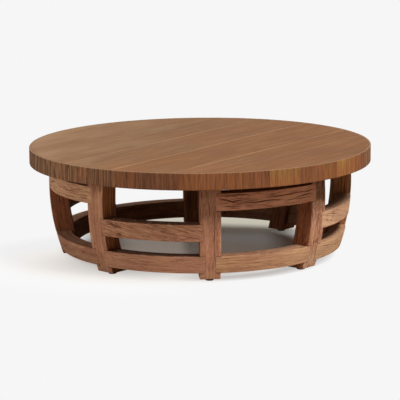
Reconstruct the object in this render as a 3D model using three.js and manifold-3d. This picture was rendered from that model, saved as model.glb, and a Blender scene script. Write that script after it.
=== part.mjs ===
// Low round coffee table of reclaimed timber on an open barrel base.
// Millimetres, +Z up. The origin is on the floor under the centre. Post 1 stands at the front, towards -Y.
import * as THREE from "three";
import { mergeVertices } from "three/addons/utils/BufferGeometryUtils.js";
import Module from "manifold-3d";

// Overall sizes
const tableHeight = 388;
const topDiameter = 1200;
const topThickness = 57;
const postCount = 8;

// Barrel base: the outer faces bow out on an arc of sideRadius, widest at bulgeDrop below the top
const topOverhang = 67;
const bulgeDrop = 71;
const sideRadius = 720;

// Posts
const postWidth = 70;
const postDepth = 66;
const postChamfer = 2;
const tenonWidth = 40;
const tenonDepth = 34;
const tenonHeight = 24;

// Rails: a housing is how far a rail's whole end is let into a post, and the stub tenon goes on from there
const railDepth = 52;
const railChamfer = 2;
const bottomRailLift = 32;
const bottomRailHeight = 60;
const bottomRailHousing = 17;
const middleRailPlaceShare = 0.52;
const middleRailHeight = 59;
const middleRailHousing = 12;
const topRailGap = 24;
const topRailHeight = 58;
const topRailDepth = 60;
const topRailHousing = 17;
const stubLength = 10;
const stubShoulder = 13;

// Top
const bandThickness = 8;
const bandChamfer = 2.5;
const bandStagger = 18;
const blockThickness = 32;
const blockWidth = 152;
const plankAngle = 50.9;
const plankWidthShares = [0.042, 0.1715, 0.1715, 0.17, 0.174, 0.099, 0.098, 0.074];
const plankChamfer = 1;
const battenWidth = 90;
const battenSpacing = 400;

// Glides
const glideDiameter = 28;
const glideHeight = 10;
const glideChamfer = 1.5;
const nailDiameter = 2.6;
const nailLength = 14;

// Fits
const clearance = 0.3;
const overrun = 5;

// Fineness of the curves
const baseTurnSteps = 80;
const topTurnSteps = 120;
const glideTurnSteps = 16;
const railStepHeight = 30;
const postStepHeight = 30;

// Worked out from the sizes above
const topRadius = topDiameter / 2;
const undersideHeight = tableHeight - topThickness;
const plankThickness = topThickness - blockThickness;
const plankUnderside = tableHeight - plankThickness;
const discRadius = topRadius - bandThickness - clearance;
const blockInnerRadius = discRadius - blockWidth;
const bayAngle = 2 * Math.PI / postCount;
const frontAngle = -Math.PI / 2;
const bulgeRadius = topRadius - topOverhang;
const bulgeHeight = undersideHeight - bulgeDrop;
const sideCentre = bulgeRadius - sideRadius;
const topRailLow = undersideHeight - topRailGap - topRailHeight;
const middleRailLow = bottomRailLift + middleRailPlaceShare * (topRailLow - bottomRailLift);
const bottomRail = {
  low: bottomRailLift, height: bottomRailHeight, depth: railDepth, housing: bottomRailHousing,
};
const middleRail = {
  low: middleRailLow, height: middleRailHeight, depth: railDepth, housing: middleRailHousing,
};
const topRail = {
  low: topRailLow, height: topRailHeight, depth: topRailDepth, housing: topRailHousing,
};

// Timber finishes
const topTimber = new THREE.MeshStandardMaterial({ color: 0x95705a, roughness: 0.55, metalness: 0 });
const rimTimber = new THREE.MeshStandardMaterial({ color: 0x815b3f, roughness: 0.8, metalness: 0 });
const baseTimber = new THREE.MeshStandardMaterial({ color: 0x855a44, roughness: 0.8, metalness: 0 });
const hiddenTimber = new THREE.MeshStandardMaterial({ color: 0x9c7a5c, roughness: 0.85, metalness: 0 });
const blackNylon = new THREE.MeshStandardMaterial({ color: 0x1a1917, roughness: 0.5, metalness: 0 });

const wasm = await Module();
wasm.setup();

// Solids from three.js shapes

function toSolid(geometry) {
  const bare = geometry.clone();
  bare.deleteAttribute("normal");
  bare.deleteAttribute("uv");
  const merged = mergeVertices(bare);
  const vertProperties = new Float32Array(merged.attributes.position.array);
  const triVerts = new Uint32Array(merged.index.array);
  return new wasm.Manifold(new wasm.Mesh({ numProp: 3, vertProperties, triVerts }));
}

function toGeometry(body) {
  const { vertProperties, triVerts } = body.getMesh();
  const geometry = new THREE.BufferGeometry();
  geometry.setAttribute("position", new THREE.BufferAttribute(vertProperties, 3));
  geometry.setIndex(new THREE.BufferAttribute(triVerts, 1));
  const faceted = geometry.toNonIndexed();
  faceted.computeVertexNormals();
  return faceted;
}

// A closed outline of [radius, height] points, anticlockwise, turned round the Z axis
function turned(outline, steps) {
  const points = [...outline, outline[0]].map(([radius, height]) => new THREE.Vector2(radius, height));
  return toSolid(new THREE.LatheGeometry(points, steps).rotateX(Math.PI / 2));
}

// A flat outline of [x, y] points, raised from one height to another
function raised(outline, low, high) {
  const shape = new THREE.Shape(outline.map(([x, y]) => new THREE.Vector2(x, y)));
  const geometry = new THREE.ExtrudeGeometry(shape, { depth: high - low, bevelEnabled: false });
  return toSolid(geometry.translate(0, 0, low));
}

function block(low, high) {
  const size = new THREE.Vector3().subVectors(high, low);
  const centre = new THREE.Vector3().addVectors(low, high).multiplyScalar(0.5);
  return toSolid(new THREE.BoxGeometry(...size).translate(...centre));
}

// The sector between two radial lines at plus and minus halfAngle, each moved in along its normal by setBack
function sector(halfAngle, setBack, low, high) {
  const reach = topDiameter;
  const along = new THREE.Vector2(Math.cos(halfAngle), Math.sin(halfAngle)).multiplyScalar(reach);
  const inward = new THREE.Vector2(Math.sin(halfAngle), -Math.cos(halfAngle)).multiplyScalar(setBack);
  const far = along.clone().add(inward);
  return raised([[setBack / Math.sin(halfAngle), 0], [far.x, -far.y], [reach, 0], [far.x, far.y]], low, high);
}

// Barrel shape

function barrelRadiusAt(height, inset) {
  const rise = height - bulgeHeight;
  return sideCentre + Math.sqrt((sideRadius - inset) ** 2 - rise ** 2);
}

function sideCurve(low, high, inset) {
  const steps = Math.ceil((high - low) / railStepHeight);
  const heights = Array.from({ length: steps + 1 }, (_, step) => low + (high - low) * step / steps);
  return heights.map((height) => [barrelRadiusAt(height, inset), height]);
}

// A hoop of the barrel between two heights and two depths behind its outer surface
function hoop(low, high, outerInset, innerInset, chamfer) {
  const outer = sideCurve(low + chamfer, high - chamfer, outerInset);
  const inner = sideCurve(low + chamfer, high - chamfer, innerInset).reverse();
  const corners = chamfer === 0 ? [] : [
    [barrelRadiusAt(high, outerInset) - chamfer, high],
    [barrelRadiusAt(high, innerInset) + chamfer, high],
    [barrelRadiusAt(low, innerInset) + chamfer, low],
    [barrelRadiusAt(low, outerInset) - chamfer, low],
  ];
  return turned([...outer, ...corners.slice(0, 2), ...inner, ...corners.slice(2)], baseTurnSteps);
}

// Rails, each lying in its own frame with the middle of its bay on +X

function railSolid(rail) {
  const high = rail.low + rail.height;
  const shoulder = postWidth / 2 - rail.housing + clearance;
  const stubEnd = shoulder - stubLength;
  const body = hoop(rail.low, high, 0, rail.depth, railChamfer)
    .intersect(sector(bayAngle / 2, shoulder, rail.low - overrun, high + overrun));
  const stub = hoop(rail.low + stubShoulder, high - stubShoulder, stubShoulder, rail.depth - stubShoulder, 0)
    .intersect(sector(bayAngle / 2, stubEnd, rail.low - overrun, high + overrun));
  return body.add(stub);
}

// What one end of a rail takes out of the post beside it: an open housing and a blind mortise behind it
function railSeat(rail, side) {
  const high = rail.low + rail.height;
  const seatFace = postWidth / 2 - rail.housing;
  const seatHoop = hoop(rail.low - clearance, high + clearance, -overrun, rail.depth + clearance, 0);
  const grow = stubShoulder - clearance;
  const stubHoop = hoop(rail.low + grow, high - grow, grow, rail.depth - grow, 0);
  const housing = seatHoop.intersect(besidePost(side, seatFace));
  const mortise = stubHoop.intersect(besidePost(side, seatFace - stubLength));
  return housing.add(mortise);
}

// The space beyond one side of a post, from a distance off its middle plane
function besidePost(side, from) {
  const to = postWidth;
  const near = Math.min(side * from, side * to);
  const far = Math.max(side * from, side * to);
  return block(new THREE.Vector3(0, near, 0), new THREE.Vector3(topRadius, far, tableHeight));
}

// Posts, each in its own frame with its outer face towards +X

const postTopRadius = barrelRadiusAt(undersideHeight, postDepth / 2);
const postFootRadius = barrelRadiusAt(glideHeight, postDepth / 2);

function postBlank() {
  const foot = glideHeight;
  const head = undersideHeight;
  const innerRadius = sideRadius - postDepth;
  const swing = (height, radius) => Math.asin((height - bulgeHeight) / radius);
  const outline = new THREE.Shape();
  const centre = [sideCentre, bulgeHeight];
  outline.absarc(...centre, sideRadius, swing(foot, sideRadius), swing(head, sideRadius), false);
  outline.absarc(...centre, innerRadius, swing(head, innerRadius), swing(foot, innerRadius), true);
  const geometry = new THREE.ExtrudeGeometry(outline, {
    depth: postWidth - 2 * postChamfer,
    curveSegments: Math.ceil((head - foot) / postStepHeight),
    bevelThickness: postChamfer,
    bevelSize: postChamfer,
    bevelOffset: -postChamfer,
    bevelSegments: 1,
  });
  geometry.translate(0, 0, postChamfer - postWidth / 2);
  return toSolid(geometry.rotateX(Math.PI / 2));
}

function tenonSolid(grow) {
  const halfDepth = tenonDepth / 2 + grow;
  const halfWidth = tenonWidth / 2 + grow;
  const foot = undersideHeight - overrun;
  const head = undersideHeight + tenonHeight + grow;
  return block(
    new THREE.Vector3(postTopRadius - halfDepth, -halfWidth, foot),
    new THREE.Vector3(postTopRadius + halfDepth, halfWidth, head),
  );
}

// topRailSide is the side, +1 or -1 along Y, on which the top rail meets this post
function postSolid(topRailSide) {
  return postBlank()
    .add(tenonSolid(0))
    .subtract(railSeat(bottomRail, 1))
    .subtract(railSeat(bottomRail, -1))
    .subtract(railSeat(topRail, topRailSide))
    .subtract(railSeat(middleRail, -topRailSide))
    .subtract(nailHole());
}

// Glides

function glideSolid() {
  const glideRadius = glideDiameter / 2;
  const nailRadius = nailDiameter / 2;
  const nailTip = glideHeight + nailLength;
  const outline = [
    [0, 0],
    [glideRadius - glideChamfer, 0],
    [glideRadius, glideChamfer],
    [glideRadius, glideHeight],
    [nailRadius, glideHeight],
    [nailRadius, nailTip - nailDiameter],
    [0, nailTip],
  ];
  const points = outline.map(([radius, height]) => new THREE.Vector2(radius, height));
  const lathe = new THREE.LatheGeometry(points, glideTurnSteps).rotateX(Math.PI / 2);
  return toSolid(lathe.translate(postFootRadius, 0, 0));
}

function nailHole() {
  const radius = nailDiameter / 2 + clearance;
  const length = nailLength + clearance + overrun;
  const hole = new THREE.CylinderGeometry(radius, radius, length, glideTurnSteps).rotateX(Math.PI / 2);
  return toSolid(hole.translate(postFootRadius, 0, glideHeight - overrun + length / 2));
}

// Rim of the top: blocks under the planks, which take the posts' tenons, and bands round the edge

function rimBlockSolid() {
  const outline = [
    [blockInnerRadius, undersideHeight],
    [discRadius, undersideHeight],
    [discRadius, plankUnderside],
    [blockInnerRadius, plankUnderside],
  ];
  return turned(outline, topTurnSteps)
    .intersect(sector(bayAngle / 2, clearance / 2, 0, tableHeight))
    .subtract(tenonSolid(clearance));
}

function edgeBandSolid() {
  const innerRadius = topRadius - bandThickness;
  const outline = [
    [innerRadius, undersideHeight],
    [topRadius, undersideHeight],
    [topRadius, tableHeight - bandChamfer],
    [topRadius - bandChamfer, tableHeight],
    [innerRadius, tableHeight],
  ];
  return turned(outline, topTurnSteps).intersect(sector(bayAngle / 2, clearance / 2, 0, tableHeight + overrun));
}

// Planks and battens, lying in a frame whose X axis runs along the planks

function plankSolid(front, back) {
  const section = new THREE.Shape([
    [front, plankUnderside],
    [back, plankUnderside],
    [back, tableHeight - plankChamfer],
    [back - plankChamfer, tableHeight],
    [front + plankChamfer, tableHeight],
    [front, tableHeight - plankChamfer],
  ].map(([across, height]) => new THREE.Vector2(across, height)));
  const geometry = new THREE.ExtrudeGeometry(section, { depth: topDiameter, bevelEnabled: false });
  geometry.translate(0, 0, -topRadius).rotateX(Math.PI / 2).rotateZ(Math.PI / 2);
  const disc = turned([[0, 0], [discRadius, 0], [discRadius, tableHeight], [0, tableHeight]], topTurnSteps);
  return toSolid(geometry).intersect(disc);
}

function battenSolid(side) {
  const middle = side * battenSpacing / 2;
  const innerDisc = blockInnerRadius - clearance;
  const disc = turned([[0, 0], [innerDisc, 0], [innerDisc, tableHeight], [0, tableHeight]], topTurnSteps);
  return block(
    new THREE.Vector3(middle - battenWidth / 2, -topRadius, undersideHeight),
    new THREE.Vector3(middle + battenWidth / 2, topRadius, plankUnderside),
  ).intersect(disc);
}

// Assembly

const table = new THREE.Group();
table.name = "coffee_table";

function place(name, body, material, angle) {
  const mesh = new THREE.Mesh(toGeometry(body), material);
  mesh.name = name;
  mesh.rotation.z = angle;
  table.add(mesh);
}

const bottomRailBody = railSolid(bottomRail);
const middleRailBody = railSolid(middleRail);
const topRailBody = railSolid(topRail);
const postBodies = [postSolid(1), postSolid(-1)];
const glideBody = glideSolid();
const rimBlockBody = rimBlockSolid();
const edgeBandBody = edgeBandSolid();

for (let index = 0; index < postCount; index += 1) {
  const number = index + 1;
  const postAngle = frontAngle + index * bayAngle;
  const middleOfBay = postAngle + bayAngle / 2;
  const hasTopRail = index % 2 === 0;
  place(`post_${number}`, postBodies[index % 2], baseTimber, postAngle);
  place(`glide_${number}`, glideBody, blackNylon, postAngle);
  place(`bottom_rail_${number}`, bottomRailBody, baseTimber, middleOfBay);
  if (hasTopRail) {
    place(`top_rail_${number}`, topRailBody, baseTimber, middleOfBay);
  } else {
    place(`middle_rail_${number}`, middleRailBody, baseTimber, middleOfBay);
  }
  place(`rim_block_${number}`, rimBlockBody, hiddenTimber, postAngle);
  place(`edge_band_${number}`, edgeBandBody, rimTimber, middleOfBay + THREE.MathUtils.degToRad(bandStagger));
}

const grainAngle = THREE.MathUtils.degToRad(plankAngle);
let plankBack = discRadius;
plankWidthShares.forEach((share, index) => {
  const number = index + 1;
  const plankFront = plankBack - share * 2 * discRadius;
  const body = plankSolid(plankFront + clearance / 2, plankBack - clearance / 2);
  place(`top_plank_${number}`, body, topTimber, grainAngle);
  plankBack = plankFront;
});
place("batten_1", battenSolid(-1), hiddenTimber, grainAngle);
place("batten_2", battenSolid(1), hiddenTimber, grainAngle);

export default table;
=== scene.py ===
# Round reclaimed-timber coffee table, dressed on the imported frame. Metres, +Z up.
import math
import random
from collections import namedtuple

import bmesh
import bpy
import numpy as np
from mathutils import Matrix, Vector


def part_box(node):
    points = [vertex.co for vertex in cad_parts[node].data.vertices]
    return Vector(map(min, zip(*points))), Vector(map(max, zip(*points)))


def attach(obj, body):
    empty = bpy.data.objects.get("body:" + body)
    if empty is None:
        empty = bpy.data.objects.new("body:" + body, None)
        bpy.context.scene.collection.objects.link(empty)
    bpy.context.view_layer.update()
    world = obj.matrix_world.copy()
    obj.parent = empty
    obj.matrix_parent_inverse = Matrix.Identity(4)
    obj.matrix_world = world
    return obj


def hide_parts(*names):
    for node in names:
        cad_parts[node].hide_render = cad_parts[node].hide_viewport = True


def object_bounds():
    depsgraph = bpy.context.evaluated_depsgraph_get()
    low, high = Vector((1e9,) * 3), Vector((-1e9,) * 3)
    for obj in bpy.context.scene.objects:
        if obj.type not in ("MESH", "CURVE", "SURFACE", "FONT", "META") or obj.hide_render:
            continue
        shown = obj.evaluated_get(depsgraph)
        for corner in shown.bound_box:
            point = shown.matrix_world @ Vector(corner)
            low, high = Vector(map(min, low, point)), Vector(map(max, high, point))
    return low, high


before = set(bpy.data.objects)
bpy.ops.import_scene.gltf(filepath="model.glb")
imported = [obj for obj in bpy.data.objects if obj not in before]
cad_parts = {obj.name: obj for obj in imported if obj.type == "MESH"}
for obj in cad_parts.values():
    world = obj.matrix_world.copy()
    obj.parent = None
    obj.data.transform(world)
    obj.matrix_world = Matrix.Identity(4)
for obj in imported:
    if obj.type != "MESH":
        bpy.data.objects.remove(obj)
cad_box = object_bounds()
post_low, post_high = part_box("post_1")

# Sizes of the construction, from the boxes of the frame, and otherwise as in the solids
MM = 0.001
TOP_HEIGHT = cad_box[1].z
TOP_RADIUS = cad_box[1].x
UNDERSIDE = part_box("edge_band_1")[0].z
PLANK_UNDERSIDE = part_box("top_plank_1")[0].z
POST_WIDTH = post_high.x - post_low.x
FOOT_HEIGHT = post_low.z
BAND_THICKNESS = 8 * MM
POST_DEPTH = 66 * MM
OVERHANG = 67 * MM
BULGE_DROP = 71 * MM
SIDE_RADIUS = 720 * MM
CLEARANCE = 0.3 * MM
BULGE_RADIUS = TOP_RADIUS - OVERHANG
BULGE_HEIGHT = UNDERSIDE - BULGE_DROP
DISC_RADIUS = TOP_RADIUS - BAND_THICKNESS - CLEARANCE
BAY_COUNT = 8
BAY_ANGLE = math.radians(360 / BAY_COUNT)
FRONT_ANGLE = math.radians(-90)
BAND_STAGGER = math.radians(18)
PLANK_ANGLE = math.radians(50.9)
# Widths of the planks from back to front, as shares of the disc's diameter
PLANK_WIDTH_SHARES = (0.042, 0.1715, 0.1715, 0.17, 0.174, 0.099, 0.098, 0.074)
# How deep each kind of rail sits in a post, and how deep it is from front to back
HOUSINGS = {"bottom": 17 * MM, "middle": 12 * MM, "top": 17 * MM}
RAIL_DEPTHS = {"bottom": 52 * MM, "middle": 52 * MM, "top": 60 * MM}


# Smooth noise on a lattice, from -1 to 1, the same on every run. Its scale is in cells per metre.

CELL_FACTORS = (73856093, 19349663, 83492791)
SEED_FACTOR = 2654435761
MIX_FACTOR = 1274126177
LOW_BITS = 0xFFFF


def lattice_value(cell, seed):
    x, y, z = (cell[..., axis].astype(np.int64) * factor for axis, factor in enumerate(CELL_FACTORS))
    mixed = x ^ y ^ z ^ (seed * SEED_FACTOR)
    mixed = (mixed ^ (mixed >> 13)) * MIX_FACTOR
    mixed = mixed ^ (mixed >> 16)
    return (mixed & LOW_BITS) / (LOW_BITS // 2) - 1


def noise(points, scale, seed):
    scaled = points * np.array(scale)
    cell = np.floor(scaled)
    part = scaled - cell
    part = part * part * (3 - 2 * part)
    total = np.zeros(points.shape[:-1])
    for corner in np.ndindex(2, 2, 2):
        weight = np.prod(np.where(corner, part, 1 - part), axis=-1)
        total += weight * lattice_value(cell + np.array(corner), seed)
    return total


def bumps(points, scale, seed):
    """The same noise, from 0 to 1."""
    return (noise(points, scale, seed) + 1) / 2


def smooth_step(low, high, value):
    share = np.clip((value - low) / (high - low), 0, 1)
    return share * share * (3 - 2 * share)


# Shapes of the barrel

def barrel_radius(height, inset):
    """The radius at a height of the surface that lies inset behind the barrel's show face."""
    rise = height - BULGE_HEIGHT
    return BULGE_RADIUS - SIDE_RADIUS + np.sqrt((SIDE_RADIUS - inset) ** 2 - rise ** 2)


def turn(x, y, angle):
    cosine, sine = math.cos(angle), math.sin(angle)
    return x * cosine - y * sine, x * sine + y * cosine


# Stock: every timber is a length of rounded section, given as points of (along, across, deep)

END_SHRINK_SHARE = 0.8


def section_loop(width, depth, radius, counts, corner_steps=3):
    """Points round a section from (0, 0) to (width, depth) and their outward normals.
    counts are the steps on its faces: far side, back, near side and front."""
    points, normals = [], []
    centres = (
        (width - radius, radius), (width - radius, depth - radius),
        (radius, depth - radius), (radius, radius),
    )
    for side, centre in enumerate(centres):
        quarter = math.radians(90) * (side - 1)
        for step in range(corner_steps + 1):
            angle = quarter + math.radians(90) * step / corner_steps
            normals.append(np.array((math.cos(angle), math.sin(angle))))
            points.append(np.array(centre) + radius * normals[-1])
        normal = normals[-1]
        first = points[-1]
        last = np.array(centres[(side + 1) % 4]) + radius * normal
        for step in range(1, counts[side]):
            points.append(first + (last - first) * step / counts[side])
            normals.append(normal)
    return np.array(points), np.array(normals)


def lengths(total, step, radius, round_steps=3):
    """Places along a timber and how far the section shrinks there, so that its ends are rounded."""
    count = max(2, round((total - 2 * radius) / step))
    middle = np.linspace(radius, total - radius, count + 1)
    turns = np.radians(90) * np.arange(round_steps) / round_steps
    ends = radius * (1 - np.cos(turns))
    shrink = END_SHRINK_SHARE * radius * (1 - np.sin(turns))
    places = np.concatenate((ends, middle, total - ends[::-1]))
    shrinks = np.concatenate((shrink, np.zeros(len(middle)), shrink[::-1]))
    return places, shrinks


def stock(total, width, depth, radius, along_step, counts, end_radius=None):
    """Grid of (along, across, deep) points of a timber and the section normals at them."""
    section, normals = section_loop(width, depth, radius, counts)
    places, shrinks = lengths(total, along_step, end_radius or radius)
    grid = np.zeros((len(places), len(section), 3))
    grid[..., 0] = places[:, None]
    grid[..., 1:] = section[None] - normals[None] * shrinks[:, None, None]
    outward = np.zeros_like(grid)
    outward[..., 1:] = normals[None]
    return grid, outward


# Meshes and pieces

SHARP_ANGLE = math.radians(50)


def tube_faces(rings, around):
    """Faces between rings of points, and a face on either end."""
    ring = np.arange(rings - 1)[:, None] * around
    step = np.arange(around)[None]
    first, second = ring + step, ring + (step + 1) % around
    quads = np.stack((first, second, second + around, first + around), -1).reshape(-1, 4).tolist()
    quads.append(list(range(around))[::-1])
    quads.append(list(range((rings - 1) * around, rings * around)))
    return quads


def closed_mesh(name, places):
    """A closed mesh from grids of x, y and z, its normals outward."""
    mesh = bpy.data.meshes.new(name)
    points = np.stack(places, -1).reshape(-1, 3).tolist()
    mesh.from_pydata(points, [], tube_faces(*places[0].shape))
    shape = bmesh.new()
    shape.from_mesh(mesh)
    bmesh.ops.recalc_face_normals(shape, faces=shape.faces)
    shape.to_mesh(mesh)
    shape.free()
    return mesh


def show(name, data, material=None):
    """Puts a mesh, a lamp or a camera into the scene."""
    piece = bpy.data.objects.new(name, data)
    bpy.context.scene.collection.objects.link(piece)
    if material:
        data.materials.append(material)
    return piece


def write_values(mesh, key, *parts):
    """Gives each point three values for its material, each an array, or one number for all points."""
    values = np.empty((len(mesh.vertices), 3), np.float32)
    for index, part in enumerate(parts):
        values[:, index] = np.ravel(part)
    layer = mesh.attributes.new(key, "FLOAT_VECTOR", "POINT")
    layer.data.foreach_set("vector", values.ravel())


def smooth(mesh):
    mesh.polygons.foreach_set("use_smooth", [True] * len(mesh.polygons))
    mesh.set_sharp_from_angle(angle=SHARP_ANGLE)


def settle(piece, node):
    smooth(piece.data)
    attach(piece, "root")
    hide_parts(node)


# Drying checks: how deep a timber's surface is split, from 0 to 1

Cracks = namedtuple("Cracks", "count longest widest slope")
# How long, wide and deep a check is beside the greatest, how it sways, and how its slope varies
LENGTH_SHARES = (0.25, 1)
WIDTH_SHARES = (0.35, 1)
FULLNESS_SHARES = (0.4, 1)
SWAYS = (0, 1.5 * MM)
SWAY_TURNS = (30, 90)
SLOPE_SPREAD = 0.03
# How wide a check is at its tips and on its floor, beside its greatest width, and its least width
TIP_WIDTH_SHARE = 0.3
FLOOR_WIDTH_SHARE = 0.3
LEAST_WIDTH = 0.01 * MM


def split_line(along, across, middle, line, reach, width, slope, sway=1 * MM, turns=60):
    """One drying check that crosses the place (middle, line) and tapers to its ends, reach away."""
    off = along - middle
    taper = np.sqrt(np.clip(1 - (off / reach) ** 2, 0, 1))
    centre = line + slope * off + sway * np.sin(turns * off)
    half_width = width * (TIP_WIDTH_SHARE + (1 - TIP_WIDTH_SHARE) * taper) + LEAST_WIDTH
    return taper * (1 - smooth_step(FLOOR_WIDTH_SHARE, 1, np.abs(across - centre) / half_width))


def checks(along, across, draws, cracks, area):
    """Drying checks along the grain. area is (along low, along high, across low, across high)."""
    depth = np.zeros(along.shape)
    for _ in range(cracks.count):
        middle = draws.uniform(*area[:2])
        line = draws.uniform(*area[2:])
        reach = cracks.longest * draws.uniform(*LENGTH_SHARES) / 2
        width = cracks.widest * draws.uniform(*WIDTH_SHARES)
        slope = draws.gauss(cracks.slope, SLOPE_SPREAD)
        sway = draws.uniform(*SWAYS)
        turns = draws.uniform(*SWAY_TURNS)
        fullness = draws.uniform(*FULLNESS_SHARES)
        one = split_line(along, across, middle, line, reach, width, slope, sway, turns)
        depth = np.maximum(depth, fullness * one)
    return depth


def area_of(shares, length, width):
    """The part of a face in which checks begin."""
    return np.array(shares) * (length, length, width, width)


# Weathering: what is worn off a timber's surface, in metres

Strokes = namedtuple("Strokes", "length width share")
FIBRE_HEIGHT = 0.2 * MM
CHIP_DEPTH = 1.2 * MM
CHECK_DEPTH = 2.6 * MM
STROKE_DEPTH = 1.2 * MM
# How dark torn grain is beside a check, and how hollow the hidden faces are beside the show face
STROKE_SHADE_SHARE = 0.8
HIDDEN_HOLLOW_SHARE = 0.2


def front_share(outward):
    """1 on the show face of a timber and 0 on its other faces."""
    return smooth_step(0.2, 0.8, -outward[..., 2])


def torn_grain(grid, slope, seed, strokes):
    """Torn and split grain in short slanting strokes over a share of the face."""
    lean = np.stack((grid[..., 0], grid[..., 1] - slope * grid[..., 0], grid[..., 2]), -1)
    sway = 0.8 * strokes.width * noise(lean, scale=(25, 40, 5), seed=seed + 5)
    wavy = lean + np.array((0, 1, 0)) * sway[..., None]
    torn = noise(wavy, scale=(1 / strokes.length, 0.5 / strokes.width, 5), seed=seed + 6)
    torn += 0.5 * noise(wavy, scale=(2.3 / strokes.length, 0.9 / strokes.width, 5), seed=seed + 7)
    patch = 0.45 * noise(grid, scale=(14, 30, 5), seed=seed + 8)
    return smooth_step(0.75 - strokes.share, 1.25 - strokes.share, torn + patch)


def worn_off(grid, outward, seed, hollow, open_share):
    """Fibres standing proud, hewn hollows, and chipped arrises at the front."""
    fibre = FIBRE_HEIGHT * bumps(grid, scale=(14, 420, 420), seed=seed)
    hewn = hollow * bumps(grid, scale=(22, 60, 60), seed=seed + 1)
    hewn *= HIDDEN_HOLLOW_SHARE + (1 - HIDDEN_HOLLOW_SHARE) * front_share(outward)
    arris = np.clip(2 * np.abs(outward[..., 1] * outward[..., 2]), 0, 1) * (outward[..., 2] < 0)
    chips = CHIP_DEPTH * smooth_step(0, 0.9, noise(grid, scale=(24, 9, 9), seed=seed + 2))
    return fibre + open_share * (hewn + arris * chips)


def weather(grid, outward, seed, hollow, open_share, split, torn):
    """The points of a timber with its surface worn off, and how dark its checks and torn grain are."""
    wear = worn_off(grid, outward, seed, hollow, open_share)
    wear += np.maximum(CHECK_DEPTH * split, STROKE_DEPTH * torn)
    return grid - outward * wear[..., None], np.maximum(split, STROKE_SHADE_SHARE * torn)


# Looks of the single timbers of the base, as in the photo

PLAIN_LOOK = (0.4, 0.35, 0.35)
# How golden the timbers in view are, and how pale at the foot or left end and at the other end; the darker
# upper ends of post_1 and post_2 are partly painted shade under the top's overhang
BASE_LOOKS = {
    "post_1": (0.25, 1.08, 0.08),
    "post_2": (0.3, 1.52, -0.65),
    "post_3": (0.6, 0.9, 0.9),
    "post_7": (0.15, 0.1, 1.1),
    "post_8": (0.3, 0.9, 0.7),
    "top_rail_1": (0.15, 0.85, 0.9),
    "top_rail_7": (0.55, 1.12, 0.92),
    "middle_rail_2": (0.5, 1.14, 1.14),
    "middle_rail_8": (0.3, 0.65, 0.6),
    "bottom_rail_1": (0.54, 0.88, 1.04),
    "bottom_rail_2": (0.85, 1.05, 1.05),
    "bottom_rail_7": (0.4, 0.72, 0.6),
    "bottom_rail_8": (0.25, 0.98, 0.95),
}
# How light a timber is beside the others; on top_rail_1 it is mostly painted light, lifting the shade that
# the top's edge casts on it
BASE_LIGHT = {"top_rail_1": 1.46, "post_1": 1.04, "post_7": 1.1}
# How marked the dark and pale strokes are on each kind of timber, and on those that differ from their kind
TORN = {"bottom": 0.4, "middle": 0.85, "top": 0.9, "post": 0.25}
OTHER_TORN = {"post_1": 0.4, "post_2": 1, "post_7": 0.8, "post_8": 0.2, "middle_rail_2": 0.3}
# Painted shade on the upper faces of the rails, darker under the top: in the bays at the front, and in the
# others
UPPER_PAINTED_SHADE = {1: 0.74, 2: 0.57, 7: 0.31, 8: 1}
OTHER_UPPER_PAINTED_SHADE = 0.06
# Painted light on the upper faces in the other bays, and painted warm brown shade on inner faces
UPPER_PAINTED_LIGHT = 0.5
INNER_PAINTED_SHADE = 0.6


def look_of(node, split, place):
    """How golden, pale and split a timber is at each point, the paleness partly painted shade at the upper
    ends of post_1 and post_2. place is the point's share of its length.
    """
    golden, pale_first, pale_last = BASE_LOOKS.get(node, PLAIN_LOOK)
    return golden, pale_first + (pale_last - pale_first) * place, split


# Rails

RAIL_STOCK = dict(radius=1.5 * MM, along_step=3 * MM, counts=(14, 8, 14, 44), end_radius=0.4 * MM)
# Depth of the hewn hollows on each kind of rail, its checks, and its strokes of torn grain
RAIL_HOLLOWS = {"bottom": 0.5 * MM, "middle": 0.7 * MM, "top": 0.8 * MM}
RAIL_CRACKS = {
    "bottom": Cracks(5, 50 * MM, 1.4 * MM, 0),
    "middle": Cracks(4, 50 * MM, 1.1 * MM, -0.2),
    "top": Cracks(12, 120 * MM, 2.2 * MM, 0.02),
}
RAIL_STROKES = {
    "bottom": Strokes(40 * MM, 1.8 * MM, 0),
    "middle": Strokes(34 * MM, 1.4 * MM, 0.1),
    "top": Strokes(60 * MM, 1.8 * MM, 0.2),
}
RAIL_AREA_SHARES = (0.06, 0.94, 0.1, 0.93)
# Long splits in the face of a rail: the place of each as shares of the rail's length and height, its half
# length and width, and its slope
LONG_SPLITS = {
    "top_rail_1": (
        (0.1, 0.6, 34 * MM, 3.2 * MM, -0.35),
        (0.4, 0.42, 92 * MM, 3 * MM, 0.02),
        (0.66, 0.66, 85 * MM, 2.6 * MM, 0.03),
        (0.86, 0.48, 40 * MM, 2.2 * MM, 0.06),
    ),
}
# How far from the housing a rail is fully weathered
RAIL_WEAR_REACH = 25 * MM


def rail_places(grid, low, housing, middle):
    """Bends a straight timber to the barrel, its ends in the housings of two posts."""
    height = low + grid[..., 1]
    radius = barrel_radius(height, grid[..., 2])
    end_angle = BAY_ANGLE / 2 - np.arcsin((POST_WIDTH / 2 - housing + CLEARANCE) / radius)
    angle = (2 * grid[..., 0] / grid[..., 0].max() - 1) * end_angle
    return *turn(radius * np.cos(angle), radius * np.sin(angle), middle), height


def rail_checks(node, kind, along, across, length, tall):
    area = area_of(RAIL_AREA_SHARES, length, tall)
    split = checks(along, across, random.Random(node), RAIL_CRACKS[kind], area)
    for middle, line, reach, width, slope in LONG_SPLITS.get(node, ()):
        one = split_line(along, across, middle * length, line * tall, reach, width, slope)
        split = np.maximum(split, one)
    return split


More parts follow.
